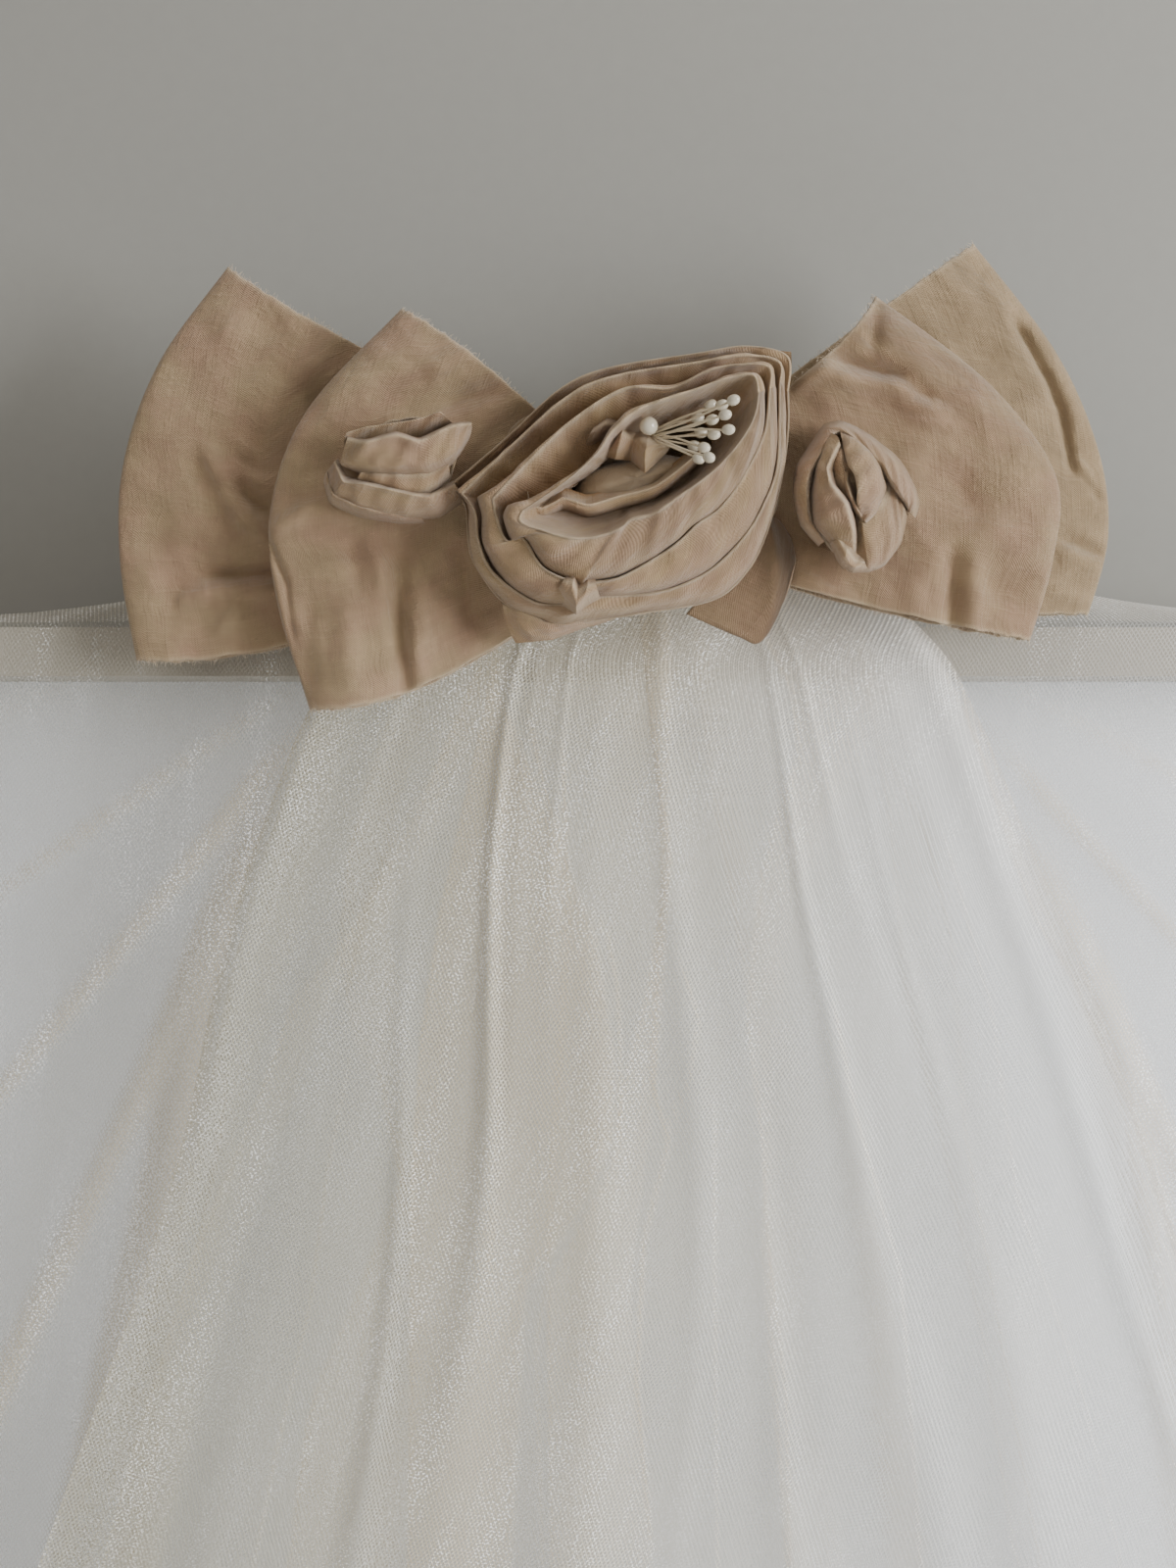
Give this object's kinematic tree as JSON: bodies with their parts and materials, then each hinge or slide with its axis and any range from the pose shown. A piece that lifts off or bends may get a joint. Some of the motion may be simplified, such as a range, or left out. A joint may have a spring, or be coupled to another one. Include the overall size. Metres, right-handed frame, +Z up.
{
  "type": "bridal veil on a rail",
  "caption": "Short bridal veil of gathered ivory tulle with a raw-silk bow, a rolled rose, rosebuds and stamens, held on a plain wall rail.",
  "frame": {"origin": "centre of the rail's flat back face", "axes": "+X to the viewer's right along the rail, +Y into the wall, +Z up"},
  "size_m": [0.6316, 0.1191, 0.6983],
  "materials": {
    "rail": "satin white paint",
    "tulle": "fine ivory net with a faint sheen",
    "silk": "matte raw silk, champagne",
    "pale_silk": "matte raw silk, pale champagne",
    "comb": "clear-ish ivory plastic",
    "stamens": "pearly lacquer"
  },
  "bodies": {
    "root": {"rail": "rail", "veil_outer": "tulle", "veil_under": "tulle", "veil_upper": "tulle", "base": "pale_silk", "bow_knot": "silk", "rose_seat": "silk", "comb": "comb", "bow_back_left": "silk", "bow_back_right": "pale_silk", "bow_front_left": "silk", "bow_front_right": "silk", "rose_wrap_1": "silk", "rose_wrap_2": "silk", "rose_wrap_3": "silk", "rose_wrap_4": "silk", "rose_curl": "silk", "rose_heart": "pale_silk", "rose_petal": "silk", "bud_left_wrap_1": "silk", "bud_left_wrap_2": "silk", "bud_left_heart": "pale_silk", "bud_right_wrap_1": "silk", "bud_right_wrap_2": "silk", "bud_right_heart": "pale_silk", "stamens": "stamens", "pearl": "stamens"}
  },
  "joints": []
}
